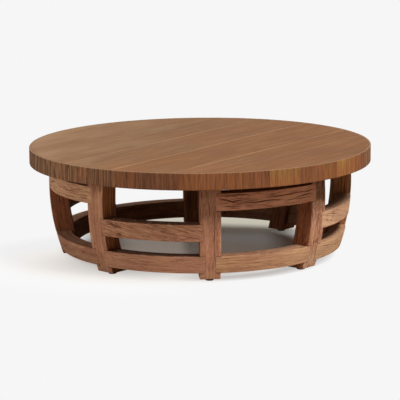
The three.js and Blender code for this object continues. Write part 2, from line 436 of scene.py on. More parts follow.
def make_rail(kind, number, material, seed):
    node = f"{kind}_rail_{number}"
    housing, slope = HOUSINGS[kind], RAIL_CRACKS[kind].slope
    low, high = (corner.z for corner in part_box(node))
    tall = high - low
    length = 2 * BULGE_RADIUS * math.sin(BAY_ANGLE / 2) - POST_WIDTH + 2 * housing
    grid, outward = stock(length, tall, RAIL_DEPTHS[kind], **RAIL_STOCK)
    along, across, deep = np.moveaxis(grid, -1, 0)
    front = front_share(outward)
    open_share = smooth_step(housing, housing + RAIL_WEAR_REACH, np.minimum(along, length - along))
    split = front * rail_checks(node, kind, along, across, length, tall)
    torn = front * open_share * torn_grain(grid, slope, seed, RAIL_STROKES[kind])
    worn, split = weather(grid, outward, seed, RAIL_HOLLOWS[kind], open_share, split, torn)
    middle = FRONT_ANGLE + (number - 0.5) * BAY_ANGLE
    mesh = closed_mesh(node, rail_places(worn, low, housing, middle))
    upward = np.clip(outward[..., 1], 0, 1)
    # Painted warm brown shade on the inner faces of rails
    brown = INNER_PAINTED_SHADE * np.clip(outward[..., 2], 0, 1)
    # Painted shade darkening the upper faces of rails, most in the front bays, under the top
    upper_shade = UPPER_PAINTED_SHADE.get(number, OTHER_UPPER_PAINTED_SHADE) * upward
    # Painted light: top_rail_1's extra lightness, and lighter upper faces of rails outside the front bays
    light = BASE_LIGHT.get(node, 1) + (number not in UPPER_PAINTED_SHADE) * UPPER_PAINTED_LIGHT * upward
    write_values(mesh, "grain", along + seed, across - slope * along, deep)
    write_values(mesh, "look", *look_of(node, split, along / length))
    write_values(mesh, "torn", OTHER_TORN.get(node, TORN[kind]), brown, upper_shade)
    write_values(mesh, "tint", light, light, light)
    settle(show(f"timber_{node}", mesh, material), node)


# Posts

POST_STOCK = dict(radius=2 * MM, along_step=4 * MM, counts=(24, 10, 24, 50))
POST_HOLLOW = 0.6 * MM
POST_CRACKS = Cracks(4, 90 * MM, 1.2 * MM, 0)
POST_AREA_SHARES = (0.1, 0.95, 0.1, 0.9)
POST_SIDE_CRACKS = Cracks(6, 150 * MM, 2 * MM, 0)
POST_STROKES = Strokes(60 * MM, 1.6 * MM, 0.15)
# The long check in the front post's face: where its middle is, as shares of the length, and its place across
FRONT_POST = "post_1"
FRONT_CRACK = Cracks(1, 380 * MM, 2 * MM, 0)
FRONT_CRACK_SHARES = (0.48, 0.52)
FRONT_CRACK_PLACES = (47 * MM, 48 * MM)
# How much shorter the figure of the posts is than that of the rails
POST_GRAIN_SCALE = 1.8
# The space cut for a rail's end: how far it runs past the post, its room behind the rail, and its rings
SEAT_OVERRUN = 12 * MM
SEAT_BACK_ROOM = 1.5 * MM
SEAT_RINGS = 5


def post_places(grid, angle):
    """Bends a straight timber to the barrel, upright at an angle round the table."""
    height = FOOT_HEIGHT + grid[..., 0]
    x = barrel_radius(height, grid[..., 2])
    y = grid[..., 1] - POST_WIDTH / 2
    return *turn(x, y, angle), height


def seat_places(kind, number, side, angle):
    """The space of the open housing that a rail's end sits in, beside a post."""
    low, high = (corner.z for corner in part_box(f"{kind}_rail_{number}"))
    housing = HOUSINGS[kind]
    if side > 0:
        near, far = POST_WIDTH - housing, POST_WIDTH + SEAT_OVERRUN
    else:
        near, far = -SEAT_OVERRUN, housing
    front = -SEAT_OVERRUN
    back = RAIL_DEPTHS[kind] + SEAT_BACK_ROOM
    corners = ((near, front), (far, front), (far, back), (near, back))
    along = np.linspace(low - CLEARANCE, high + CLEARANCE, SEAT_RINGS) - FOOT_HEIGHT
    return post_places(np.array([[(place, *corner) for corner in corners] for place in along]), angle)


def cut_away(piece, spaces):
    """Cuts closed spaces out of a piece for good."""
    cutters = [show("cutter", closed_mesh("cutter", places)) for places in spaces]
    for cutter in cutters:
        modifier = piece.modifiers.new("seat", "BOOLEAN")
        modifier.operation = "DIFFERENCE"
        modifier.solver = "MANIFOLD"
        modifier.object = cutter
    cut = bpy.data.meshes.new_from_object(piece.evaluated_get(bpy.context.evaluated_depsgraph_get()))
    piece.modifiers.clear()
    piece.data = cut
    for cutter in cutters:
        bpy.data.objects.remove(cutter)


def upper_kind(number):
    """The kind of rail above the bottom rail in a bay."""
    return "top" if number % 2 else "middle"


def cut_seats(piece, number, angle):
    """Cuts the housings of the four rails that meet at a post."""
    before = (number - 2) % BAY_COUNT + 1
    cut_away(piece, [
        seat_places("bottom", number, 1, angle),
        seat_places("bottom", before, -1, angle),
        seat_places(upper_kind(number), number, 1, angle),
        seat_places(upper_kind(before), before, -1, angle),
    ])


def post_checks(node, grid, front, length):
    """The checks in the face of a post and in its sides."""
    draws = random.Random(node)
    along, across, deep = np.moveaxis(grid, -1, 0)
    area = area_of(POST_AREA_SHARES, length, POST_WIDTH)
    split = front * checks(along, across, draws, POST_CRACKS, area)
    if node == FRONT_POST:
        area = (*(share * length for share in FRONT_CRACK_SHARES), *FRONT_CRACK_PLACES)
        split = np.maximum(split, front * checks(along, across, draws, FRONT_CRACK, area))
    area = (0, length, 0, POST_DEPTH)
    return split + (1 - front) * checks(along, deep, draws, POST_SIDE_CRACKS, area)


def make_post(number, material, seed):
    node = f"post_{number}"
    angle = FRONT_ANGLE + (number - 1) * BAY_ANGLE
    length = UNDERSIDE - FOOT_HEIGHT
    grid, outward = stock(length, POST_WIDTH, POST_DEPTH, **POST_STOCK)
    front = front_share(outward)
    split = post_checks(node, grid, front, length)
    torn = front * torn_grain(grid, 0, seed, POST_STROKES)
    worn, split = weather(grid, outward, seed, POST_HOLLOW, 1, split, torn)
    piece = show(f"timber_{node}", closed_mesh(node, post_places(worn, angle)), material)
    # The paleness fades up the post; on post_1 and post_2 this is partly painted shade under the top's
    # overhang
    write_values(piece.data, "look", *look_of(node, split, grid[..., 0] / length))
    cut_seats(piece, number, angle)
    points = np.empty(len(piece.data.vertices) * 3, np.float32)
    piece.data.vertices.foreach_get("co", points)
    x, y, z = points.reshape(-1, 3).astype(float).T
    x, y = turn(x, y, -angle)
    light = BASE_LIGHT.get(node, 1)
    write_values(piece.data, "grain", POST_GRAIN_SCALE * z + seed, y, barrel_radius(z, 0) - x)
    # Painted shade: all of a post's sides and back take the warm brown side shade
    write_values(piece.data, "torn", OTHER_TORN.get(node, TORN["post"]), 1, 0)
    write_values(piece.data, "tint", light, light, light)
    settle(piece, node)


# Edge bands, faced with upright staves

BAND_STOCK = dict(radius=1.5 * MM, along_step=1 * MM, counts=(4, 3, 3, 12), end_radius=0.6 * MM)
# Depths of the brushed lines, of the fibres between them and of the steps from stave to stave
LINE_DEPTH = 0.6 * MM
FIBRE_DEPTH = 0.3 * MM
STEP_DEPTH = 0.4 * MM
LINE_SWAY = 1.2 * MM
# How deep the relief is on the hidden faces of a band, beside that of its show face
HIDDEN_RELIEF_SHARE = 0.25
# The left edge of each stave, in degrees, its timber, from 0, grey-brown, past red and orange to 1, golden,
# and how light it is, partly its own tone and partly painted light that lightens the staves at the left of
# the front
STAVES = [
    (-180, 0.2, 1.22), (-165, 0.12, 1.38), (-150, 0.12, 1.56), (-146, 0.15, 1.56), (-137, 0.2, 1.58),
    (-132, 0.2, 1.18), (-121, 0.35, 1.0), (-113, 0.3, 0.8), (-106, 0.4, 0.71), (-100, 0.6, 0.87),
    (-95, 0.45, 0.97), (-89, 0.55, 0.92), (-78, 0.4, 0.92), (-71.3, 0.95, 0.87), (-60.6, 0.42, 0.9),
    (-57.3, 0.55, 0.88), (-55, 0.4, 1.0), (-51, 0.8, 0.88), (-46.8, 0.6, 0.9), (-43.9, 0.95, 1.05),
    (-38, 0.85, 1.06), (-35.6, 0.7, 1.12), (-30.5, 0.35, 1.18), (-25, 0.2, 1.25),
]
# Round the back the staves are of one width, their timber and lightness drawn from these ranges
BACK_STAVE_ANGLES = range(-15, 180, 13)
BACK_TIMBERS = (0.1, 0.8)
BACK_LIGHTS = (0.85, 1.15)
STAVE_DRAWS = random.Random(5)
for stave_angle in BACK_STAVE_ANGLES:
    STAVES.append((stave_angle, STAVE_DRAWS.uniform(*BACK_TIMBERS), STAVE_DRAWS.uniform(*BACK_LIGHTS)))


def stave_timber(degrees):
    """The timber and the lightness of the stave at each angle."""
    wrapped = (degrees + 180) % 360 - 180
    edges, timbers, lightness = np.array(STAVES).T
    index = np.searchsorted(edges, wrapped, side="right") - 1
    return timbers[index], lightness[index]


def brushed(field, timber):
    """How deep the brushed lines of the edge are, from 0 to 1, and its whole relief in metres.
    Fine lines run all round, and coarse ones where the timber is grey-brown."""
    sway = LINE_SWAY * noise(field, scale=(25, 30, 5), seed=9)
    leaning = field + np.array((1, 0, 0)) * sway[..., None]
    fine = smooth_step(0.1, 0.4, noise(leaning, scale=(440, 16, 5), seed=11))
    fine *= smooth_step(-0.7, 0.1, noise(field, scale=(70, 8, 5), seed=14))
    coarse = smooth_step(0.1, 0.45, noise(leaning, scale=(200, 12, 5), seed=15))
    coarse *= smooth_step(0.45, 0.2, timber)
    line = np.maximum(fine, coarse)
    fibre = bumps(leaning, scale=(420, 12, 12), seed=12)
    step = bumps(field, scale=(14, 1, 1), seed=13)
    return line, LINE_DEPTH * line + FIBRE_DEPTH * fibre + STEP_DEPTH * step


def make_band(number, material):
    node = f"edge_band_{number}"
    half = BAY_ANGLE / 2 - CLEARANCE / 2 / TOP_RADIUS
    length = 2 * half * TOP_RADIUS
    height = TOP_HEIGHT - UNDERSIDE
    grid, outward = stock(length, height, BAND_THICKNESS, **BAND_STOCK)
    along, rise, deep = np.moveaxis(grid, -1, 0)
    middle = FRONT_ANGLE + (number - 0.5) * BAY_ANGLE + BAND_STAGGER
    around = (middle + (along / length - 0.5) * 2 * half) * TOP_RADIUS
    timber, lightness = stave_timber(np.degrees(around / TOP_RADIUS))
    line, relief = brushed(np.stack((around, rise, deep), -1), timber)
    outer = smooth_step(0.3, 0.9, -outward[..., 2])
    relief *= HIDDEN_RELIEF_SHARE + (1 - HIDDEN_RELIEF_SHARE) * outer
    worn = grid - outward * relief[..., None]
    angle = middle + (worn[..., 0] / length - 0.5) * 2 * half
    radius = TOP_RADIUS - worn[..., 2]
    mesh = closed_mesh(node, (radius * np.cos(angle), radius * np.sin(angle), UNDERSIDE + worn[..., 1]))
    write_values(mesh, "grain", rise, around, deep)
    write_values(mesh, "look", timber, height - rise, line)
    # Each stave's lightness: its tone, and painted light at the left of the front
    write_values(mesh, "tint", lightness, lightness, lightness)
    settle(show(f"timber_{node}", mesh, material), node)


# Planks of the top

PLANK_STOCK = dict(radius=1.0 * MM, along_step=16 * MM, end_radius=0.5 * MM)
# Steps over the edges and underside of a plank, and the width and least number of those over its upper face
PLANK_EDGE_STEPS = 3
PLANK_UNDER_STEPS = 8
PLANK_FACE_STEP = 3 * MM
LEAST_FACE_STEPS = 6
# How plain the pale line is along each seam, from back to front, and how far it reaches from the seam
SEAM_LINES = (0, 0.1, 0.1, 0.75, 1.0, 1.0, 0.45, 0.1, 0)
SEAM_REACH = (1.5 * MM, 3 * MM)
# Chords that lie nearer to the disc's edge than this margin are as long as the chord at the margin
TIP_MARGIN = 0.2 * MM
# How uneven the upper face is in long and short waves, and the depth that keeps them inside the solid
LONG_WAVE = 0.16 * MM
SHORT_WAVE = 0.05 * MM
WAVE_DEPTH = LONG_WAVE + SHORT_WAVE
# How much lighter the top is at the front, and at the left where it is a painted sheen, and darker behind its
# middle
FRONT_LIGHT = 0.1
LEFT_SHEEN = 0.05
BACK_SHADE = 0.1
# How much lighter and greyer the painted sheen makes the left end, in red, green and blue
LEFT_EDGE_SHEEN = (0.15, 0.22, 0.35)


def plank_light(x, y):
    """How light the top is from place to place, in red, green and blue, with a painted sheen at the left."""
    at_front = smooth_step(0.25, 0.5, -y)
    at_left = smooth_step(0.3, 0.5, -x)
    behind = smooth_step(0.1, 0.25, y) * smooth_step(0.5, 0.35, y) * smooth_step(0.35, 0.1, np.abs(x))
    # Painted sheen, lighter and greyer, on the left end of the top
    sheen_edge = smooth_step(0.46, 0.57, -x)
    light = 1 + FRONT_LIGHT * at_front + LEFT_SHEEN * at_left - BACK_SHADE * behind
    return [light + amount * sheen_edge for amount in LEFT_EDGE_SHEEN]


def seam_shares(number, place, width):
    """How much of the pale line lies on each point of a plank, from the seams on its two sides."""
    at_back = 1 - smooth_step(*SEAM_REACH, width - place)
    at_front = 1 - smooth_step(*SEAM_REACH, place)
    return at_back * SEAM_LINES[number - 1] + at_front * SEAM_LINES[number]


def make_plank(number, front, back, material, seed):
    node = f"top_plank_{number}"
    width = back - front
    face_steps = max(LEAST_FACE_STEPS, round(width / PLANK_FACE_STEP))
    counts = (PLANK_EDGE_STEPS, PLANK_UNDER_STEPS, PLANK_EDGE_STEPS, face_steps)
    reach = 2 * DISC_RADIUS
    grid, outward = stock(reach, width, TOP_HEIGHT - PLANK_UNDERSIDE, counts=counts, **PLANK_STOCK)
    along, place, deep = np.moveaxis(grid, -1, 0)
    across = front + place
    nearest = np.clip(np.abs(across), 0, DISC_RADIUS - TIP_MARGIN)
    along = (2 * along / reach - 1) * np.sqrt(DISC_RADIUS ** 2 - nearest ** 2)
    field = np.stack((along, across, deep), -1)
    wave = LONG_WAVE * noise(field, scale=(3, 14, 1), seed=seed)
    wave += SHORT_WAVE * noise(field, scale=(9, 60, 1), seed=seed + 1)
    upward = np.clip(-outward[..., 2], 0, 1)
    height = TOP_HEIGHT - deep - upward * (WAVE_DEPTH + wave)
    x, y = turn(along, across, PLANK_ANGLE)
    mesh = closed_mesh(node, (x, y, height))
    # From the pale, greyer left to the redder right: the top's tone, and toward the left partly painted sheen
    red = smooth_step(-0.75, 0.45, x - 0.5 * y)
    tone = random.Random(node).uniform(0, 1)
    write_values(mesh, "grain", along + seed, across, deep)
    write_values(mesh, "look", red, tone, seam_shares(number, place, width))
    write_values(mesh, "tint", *plank_light(x, y))
    settle(show(f"timber_{node}", mesh, material), node)


# Glides

# The outline of a glide, in shares of its radius and height, from the hollow of its underside to its flat top
GLIDE_OUTLINE_SHARES = (
    (0, 0.06), (0.76, 0.05), (0.78, 0), (0.9, 0.02), (0.96, 0.08), (1, 0.2), (1, 1), (0, 1),
)
GLIDE_STEPS = 40
MERGE_DISTANCE = 0.01 * MM


def make_glide(number, material):
    node = f"glide_{number}"
    low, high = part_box(node)
    centre = (low + high) / 2
    radius = (high.x - low.x) / 2
    shape = bmesh.new()
    points = [shape.verts.new((radius * out, 0, FOOT_HEIGHT * up)) for out, up in GLIDE_OUTLINE_SHARES]
    edges = [shape.edges.new(pair) for pair in zip(points, points[1:])]
    full_turn = dict(cent=(0, 0, 0), axis=(0, 0, 1), angle=2 * math.pi, steps=GLIDE_STEPS)
    bmesh.ops.spin(shape, geom=points + edges, **full_turn)
    bmesh.ops.remove_doubles(shape, verts=shape.verts, dist=MERGE_DISTANCE)
    bmesh.ops.recalc_face_normals(shape, faces=shape.faces)
    mesh = bpy.data.meshes.new(node)
    shape.to_mesh(mesh)
    shape.free()
    mesh.transform(Matrix.Translation((centre.x, centre.y, 0)))
    settle(show(f"pad_{node}", mesh, material), node)


# Materials

def linear(code):
    """The colour that a hexadecimal code stands for, in linear light."""
    parts = [int(code[start:start + 2], 16) / 255 for start in (0, 2, 4)]
    return (*[part / 12.92 if part <= 0.04045 else ((part + 0.055) / 1.055) ** 2.4 for part in parts], 1)


class Paint:
    """Shorthand for the nodes of a material or the world. A colour is a socket, a code or linear values."""

    def __init__(self, owner):
        owner.use_nodes = True
        self.owner = owner
        self.tree = owner.node_tree
        self.shader = self.tree.nodes.get("Principled BSDF")

    def feed(self, source, socket):
        if isinstance(source, bpy.types.NodeSocket):
            self.tree.links.new(source, socket)
        else:
            socket.default_value = linear(source) if isinstance(source, str) else source

    def add(self, kind, *sources, **settings):
        """A new node of a kind, with its settings, and its first sockets fed in their order."""
        node = self.tree.nodes.new("ShaderNode" + kind)
        for key, value in settings.items():
            setattr(node, key, value)
        for source, socket in zip(sources, node.inputs):
            self.feed(source, socket)
        return node

    def attribute(self, name):
        return self.add("Attribute", attribute_name=name).outputs["Vector"]

    def place(self):
        return self.add("TexCoord").outputs["Object"]

    def parts(self, vector):
        return self.add("SeparateXYZ", vector).outputs

    def length(self, vector):
        return self.add("VectorMath", vector, operation="LENGTH").outputs["Value"]

    def scaled(self, vector, scale, place=(0, 0, 0)):
        return self.add("Mapping", vector, place, (0, 0, 0), scale).outputs["Vector"]

    def warped(self, vector, scale, amount):
        """The vector, pushed about by up to half the amount across the grain."""
        cloud = self.add("TexNoise", self.scaled(vector, scale))
        cloud.inputs["Scale"].default_value = 1
        sources = (cloud.outputs["Color"], (0, amount, amount), (0, -amount / 2, -amount / 2))
        push = self.add("VectorMath", *sources, operation="MULTIPLY_ADD")
        return self.add("VectorMath", vector, push.outputs[0], operation="ADD").outputs[0]

    def noise(self, vector, scale, detail=3, rough=0.5, distortion=0, place=(0, 0, 0)):
        node = self.add("TexNoise", self.scaled(vector, scale, place))
        settings = {"Scale": 1, "Detail": detail, "Roughness": rough, "Distortion": distortion}
        for key, value in settings.items():
            node.inputs[key].default_value = value
        return node.outputs["Fac"]

    def math(self, operation, *values):
        return self.add("Math", *values, operation=operation).outputs[0]

    def plus(self, first, second):
        return self.math("ADD", first, second)

    def times(self, first, second):
        return self.math("MULTIPLY", first, second)

    def rest_of(self, share):
        return self.math("SUBTRACT", 1, share)

    def ramp(self, value, low, high, first=0, last=1):
        """Leads smoothly from the first number, below low, to the last, above high."""
        sources = (value, low, high, first, last)
        return self.add("MapRange", *sources, interpolation_type="SMOOTHSTEP").outputs["Result"]

    def scaled_color(self, color, factor):
        node = self.add("VectorMath", color, operation="SCALE")
        self.feed(factor, node.inputs["Scale"])
        return node.outputs[0]

    def palette(self, share, codes):
        """A colour from a row of codes, by its share of the way along the row."""
        node = self.add("ValToRGB", share)
        stops = node.color_ramp.elements
        for _ in codes[2:]:
            stops.new(0.5)
        for place, (stop, code) in enumerate(zip(stops, codes)):
            stop.position = place / (len(codes) - 1)
            stop.color = linear(code)
        return node.outputs["Color"]

    def blend(self, share, first, second, mode="MIX"):
        node = self.add("Mix", share, data_type="RGBA", blend_type=mode)
        self.feed(first, node.inputs[6])
        self.feed(second, node.inputs[7])
        return node.outputs[2]

    def tinted(self, color, tint, share=1):
        return self.blend(share, color, tint, "MULTIPLY")

    def over(self, color, code, value, low, high, first=0, last=1):
        """The colour with another one over it, as much of it as a ramp of a value says."""
        return self.blend(self.ramp(value, low, high, first, last), color, code)

    def bump(self, height, distance, strength):
        node = self.add("Bump")
        for key, value in (("Strength", strength), ("Distance", distance), ("Height", height)):
            self.feed(value, node.inputs[key])
        return node.outputs["Normal"]

    def mix_shaders(self, share, first, second, output):
        """Feeds the output of a material or the world with a mix of two shaders."""
        mix = self.add("MixShader", share, first.outputs[0], second.outputs[0])
        self.feed(mix.outputs[0], self.tree.nodes[output].inputs["Surface"])

    def finish(self, color, rough, normal):
        for key, value in (("Base Color", color), ("Roughness", rough), ("Normal", normal)):
            self.feed(value, self.shader.inputs[key])
        return self.owner


def new_paint(name, gloss=0.25):
    paint = Paint(bpy.data.materials.new(name))
    paint.shader.inputs["Specular IOR Level"].default_value = gloss
    return paint


# Weathered timber of the base

ROSY = ("99664e", "b57c65")
SUNNY = ("a17655", "c39972")
BLEACHED = "c4a58b"
# Linear factors of the painted shade on upper faces, and of the painted warm brown shade on sides and inner
# faces
UPPER_SHADE_TINT = (0.2, 0.16, 0.13, 1)
SIDE_SHADE_TINT = (0.82, 0.62, 0.46, 1)


def base_ground(paint, grain, rings, golden, pale):
    """The timber's colour, with its rings, its rosy or golden cast, how pale and bleached it is, and its
    tint; paleness and tint also hold painted shade and painted light.
    """
    blotch = paint.noise(grain, scale=(5, 14, 14), place=(3, 1, 7))
    rosy = paint.blend(paint.ramp(rings, 0.3, 0.7), *ROSY)
    sunny = paint.blend(paint.ramp(rings, 0.3, 0.7), *SUNNY)
    color = paint.blend(paint.ramp(paint.plus(golden, blotch), 0.6, 1.25), rosy, sunny)
    lightness = paint.math("MULTIPLY_ADD", pale, 0.5, 0.72)
    lightness = paint.plus(lightness, paint.ramp(blotch, 0.2, 0.8, first=-0.12, last=0.12))
    color = paint.scaled_color(color, lightness)
    color = paint.over(color, BLEACHED, pale, 0.8, 1.35, last=0.5)
    # The tint: painted light on top_rail_1 and on the upper faces of rails outside the front bays, otherwise
    # a timber's own lightness
    return paint.tinted(color, paint.attribute("tint"))


def base_sides(paint, color, grain, side, upper):
    """Paints shade on the upper faces of rails, paints a warm brown shade on sides and inner faces, and
    streaks these with dark grain.
    """
    color = paint.tinted(color, UPPER_SHADE_TINT, upper)
    color = paint.tinted(color, SIDE_SHADE_TINT, side)
    streaks = paint.ramp(paint.noise(grain, scale=(3, 200, 200)), 0.47, 0.62, last=0.6)
    return paint.blend(paint.times(streaks, side), color, "5a2a17")


def base_strokes(paint, color, grain, side, torn):
    """Strokes of torn grain and pale flecks, both fainter on sides. Also how dark the strokes are."""
    open_face = paint.math("MULTIPLY_ADD", side, -0.8, 1)
    patch = paint.ramp(paint.noise(grain, scale=(9, 24, 24), detail=2), 0.38, 0.6)
    dark = paint.ramp(paint.noise(grain, scale=(24, 260, 260)), 0.5, 0.6)
    dark = paint.times(dark, paint.times(patch, torn))
    pale_lines = paint.noise(grain, scale=(26, 240, 240), place=(5, 5, 5))
    pale_lines = paint.ramp(pale_lines, 0.53, 0.63, last=0.5)
    color = paint.blend(paint.times(pale_lines, paint.times(torn, open_face)), color, "dcae8a")
    color = paint.blend(paint.times(dark, 0.7), color, "6b3320")
    flecks = paint.noise(grain, scale=(110, 260, 260), detail=2, place=(9, 2, 4))
    flecks = paint.ramp(flecks, 0.62, 0.68, last=0.35)
    return paint.blend(paint.times(flecks, open_face), color, "dcb596"), dark


def base_timber():
    paint = new_paint("weathered_timber", gloss=0.1)
    grain = paint.warped(paint.attribute("grain"), scale=(8, 20, 20), amount=6 * MM)
    golden, pale, split = paint.parts(paint.attribute("look"))
    torn, shaded, upper = paint.parts(paint.attribute("torn"))
    rings = paint.noise(grain, scale=(2.5, 90, 90), detail=4, rough=0.6)
    fibre = paint.noise(grain, scale=(20, 700, 700), rough=0.6)
    deep = paint.parts(grain)[2]
    # Painted warm brown shade on sides and inner faces, away from the show face
    side = paint.times(paint.ramp(deep, 1.5 * MM, 6 * MM), shaded)
    color = base_ground(paint, grain, rings, golden, pale)
    color = base_sides(paint, color, grain, side, upper)
    color = paint.over(color, "5c3a28", fibre, 0.3, 0.6, first=0.4, last=0)
    color, dark = base_strokes(paint, color, grain, side, torn)
    color = paint.over(color, "3c1c10", split, 0.05, 0.8, last=0.65)
    relief = paint.math("SUBTRACT", paint.plus(fibre, rings), dark)
    rough = paint.ramp(rings, 0.3, 0.7, first=0.8, last=0.65)
    return paint.finish(color, rough, paint.bump(relief, 0.6 * MM, 0.6))


# Brushed timber of the edge. The rows of codes lead from grey-brown past red and orange to golden.

EDGE_DARK = ("61462e", "6a4024", "764824", "83592d")
EDGE_LIGHT = ("896b4b", "854f30", "8e552b", "9a6e3a")
EDGE_LINES = ("34241a", "3a1e10", "4a2814", "5e3418")


def edge_arris_highlight(paint, color, drop):
    """A painted highlight along the upper arris, with the dull line on top of it. drop is the depth below the
    top's face.
    """
    color = paint.over(color, "a57f5b", drop, 1 * MM, 2.5 * MM, first=0.15, last=0)
    return paint.over(color, "74573d", drop, 0.6 * MM, 1.4 * MM, first=0.9, last=0)


def rim_timber():
    paint = new_paint("brushed_edge_timber")
    grain = paint.warped(paint.attribute("grain"), scale=(12, 25, 25), amount=2 * MM)
    timber, drop, line = paint.parts(paint.attribute("look"))
    rings = paint.noise(grain, scale=(6, 110, 110), detail=4, rough=0.6)
    fibre = paint.noise(grain, scale=(20, 600, 600), rough=0.6)
    dark, light = paint.palette(timber, EDGE_DARK), paint.palette(timber, EDGE_LIGHT)
    color = paint.blend(paint.ramp(rings, 0.3, 0.7), dark, light)
    color = paint.tinted(color, paint.attribute("tint"))
    color = paint.over(color, "3a2315", fibre, 0.3, 0.55, first=0.4, last=0)
    lower = paint.times(paint.ramp(drop, 8 * MM, 45 * MM, last=0.5), paint.ramp(timber, 0.5, 1))
    color = paint.blend(lower, color, "8a4f2c")
    streak = paint.noise(grain, scale=(8, 300, 300), detail=2, place=(4, 4, 4))
    color = paint.over(color, "5a2f18", streak, 0.5, 0.62, last=0.4)
    drawn = paint.times(paint.ramp(line, 0.1, 0.9), paint.ramp(timber, 0, 0.6, first=0.75, last=0.42))
    color = paint.blend(drawn, color, paint.palette(timber, EDGE_LINES))
    # Painted highlight along the upper arris
    color = edge_arris_highlight(paint, color, drop)
    rough = paint.ramp(rings, 0.3, 0.7, first=0.8, last=0.65)
    return paint.finish(color, rough, paint.bump(fibre, 0.5 * MM, 0.5))


# Waxed timber of the top. The rows of codes lead from the pale left, partly a painted sheen, to the redder
# right.

TOP_DARK = ("765a40", "674a31", "68482e", "68452b")
TOP_LIGHT = ("7c5f45", "6c4f37", "6d4c32", "6d492d")


def top_timber():
    paint = new_paint("waxed_top_timber", gloss=0.08)
    grain = paint.warped(paint.attribute("grain"), scale=(2, 5, 5), amount=12 * MM)
    red, tone, seam = paint.parts(paint.attribute("look"))
    rings = paint.noise(grain, scale=(1.2, 70, 70), detail=5, rough=0.6)
    fibre = paint.noise(grain, scale=(9, 420, 420), rough=0.6)
    blotch = paint.noise(grain, scale=(3, 6, 6), place=(2, 5, 1))
    figure = paint.noise(grain, scale=(6, 34, 34), detail=2, distortion=0.5, place=(7, 2, 3))
    share = paint.plus(paint.plus(paint.times(red, 0.8), paint.times(tone, 0.18)), blotch)
    timber = paint.ramp(share, 0.5, 1.4)
    dark, light = paint.palette(timber, TOP_DARK), paint.palette(timber, TOP_LIGHT)
    color = paint.blend(paint.ramp(rings, 0.25, 0.75), dark, light)
    color = paint.tinted(color, paint.attribute("tint"))
    color = paint.scaled_color(color, paint.ramp(blotch, 0.25, 0.75, first=0.9, last=1.04))
    color = paint.over(color, "8c6442", figure, 0.48, 0.66, last=0.16)
    color = paint.over(color, "5c3b25", figure, 0.34, 0.5, first=0.14, last=0)
    color = paint.over(color, "5a3c28", fibre, 0.3, 0.5, first=0.12, last=0)
    color = paint.blend(paint.times(seam, paint.ramp(blotch, 0.3, 0.6, first=0.2, last=0.6)), color, "a3805c")
    rough = paint.ramp(rings, 0.3, 0.7, first=0.75, last=0.65)
    return paint.finish(color, rough, paint.bump(paint.plus(fibre, rings), 0.12 * MM, 0.4))


# Sawn timber inside the top, and the nylon of the glides

def hidden_timber():
    paint = new_paint("sawn_timber")
    place = paint.place()
    streak = paint.noise(place, scale=(25, 25, 90), detail=4, rough=0.6, distortion=0.4)
    saw = paint.noise(place, scale=(220, 220, 400), detail=2)
    color = paint.blend(paint.ramp(streak, 0.3, 0.7), "6d5038", "96734f")
    return paint.finish(color, 0.85, paint.bump(saw, 0.5 * MM, 0.5))


def glide_nylon():
    paint = new_paint("black_nylon")
    speck = paint.noise(paint.place(), scale=(900, 900, 900), detail=2)
    rough = paint.ramp(speck, 0.3, 0.7, first=0.45, last=0.6)
    return paint.finish("191816", rough, paint.bump(speck, 0.05 * MM, 0.4))


# Camera, as in the photo

IMAGE_WIDTH = 400
FOCAL_PIXELS = 1970.8
SENSOR_WIDTH = 36.0
FAR_CLIP = 100
CAMERA_DISTANCE = 6.8497
CAMERA_HEIGHT = 1.5175
CAMERA_SIDE = -0.0016
CAMERA_TURN = math.radians(-3.505)
CAMERA_PITCH = 0.1923
CAMERA_ROLL = -0.0097


def make_camera():
    data = bpy.data.cameras.new("camera")
    data.sensor_width = SENSOR_WIDTH
    data.lens = FOCAL_PIXELS / IMAGE_WIDTH * SENSOR_WIDTH
    data.clip_end = FAR_CLIP
    camera = show("camera", data)
    turn_about = Matrix.Rotation(CAMERA_TURN, 4, "Z")
    place = Matrix.Translation((CAMERA_SIDE, -CAMERA_DISTANCE, CAMERA_HEIGHT))
    tilt = Matrix.Rotation(math.pi / 2 - CAMERA_PITCH, 4, "X")
    roll = Matrix.Rotation(CAMERA_ROLL, 4, "Z")
    camera.matrix_world = turn_about @ place @ tilt @ roll
    bpy.context.scene.camera = camera


# Floor

BACKDROP = "f6f6f6"
FLOOR_REACH = 60
# What the floor gives back to other rays, and what the camera sees lit under and outside the table; the warm,
# brighter floor under the table is painted bounce light from the timber
FLOOR_BOUNCE = (0.33, 0.28, 0.22, 1)
FLOOR_UNDER_PAINTED_BOUNCE = (1, 0.9, 0.8, 1)
FLOOR_OUTSIDE = (0.7, 0.7, 0.7, 1)
# The camera sees a mix of the lit floor and a plain glow, so that the shadow is as faint as in the photo.
# Each zone's edge is where it begins and ends, in metres from the table's middle across, back or outward.
# Where the glow's share changes from zone to zone, it paints shadow and light on the floor.
BASE_STRETCH = dict(scale=(1, 1.12, 1), place=(0.02, -0.1, 0))
BASE_EDGE = (0.36, 0.5)
SHADOW_STRETCH = dict(scale=(1, 1.5, 1), place=(0.13, 0.21, 0))
SHADOW_EDGE = (0.2, 0.5)
SHADOW_TINT_EDGE = (0.42, 0.6)
CONTACT_EDGE = (0.42, 0.51)
CONTACT_BACK_EDGE = (-0.05, 0.1)
CONTACT_LEFT_EDGE = (-0.25, 0.05)
CLEAR_EDGE = (0.62, 0.85)
CLEAR_LEFT_EDGE = (-0.25, 0)
BEHIND_SIDE_EDGE = (0.3, 0.48)
BEHIND_FRONT_EDGE = (0.2, 0.35)
BEHIND_BACK_EDGE = (0.6, 0.9)
BEHIND_SLOPE = 0.3
BEHIND_SHADOW_EDGE = (0.4, 0.54)
# Steps of the glow under the table, which paint light and shade on the floor there: where each begins and
# ends across, and what it adds before and after
UNDER_STEPS = (
    (-0.3, -0.23, -0.08, 0), (-0.08, -0.03, 0.187, 0.05), (0, 0.06, 0, 0.04), (0.22, 0.33, 0, -0.09),
)


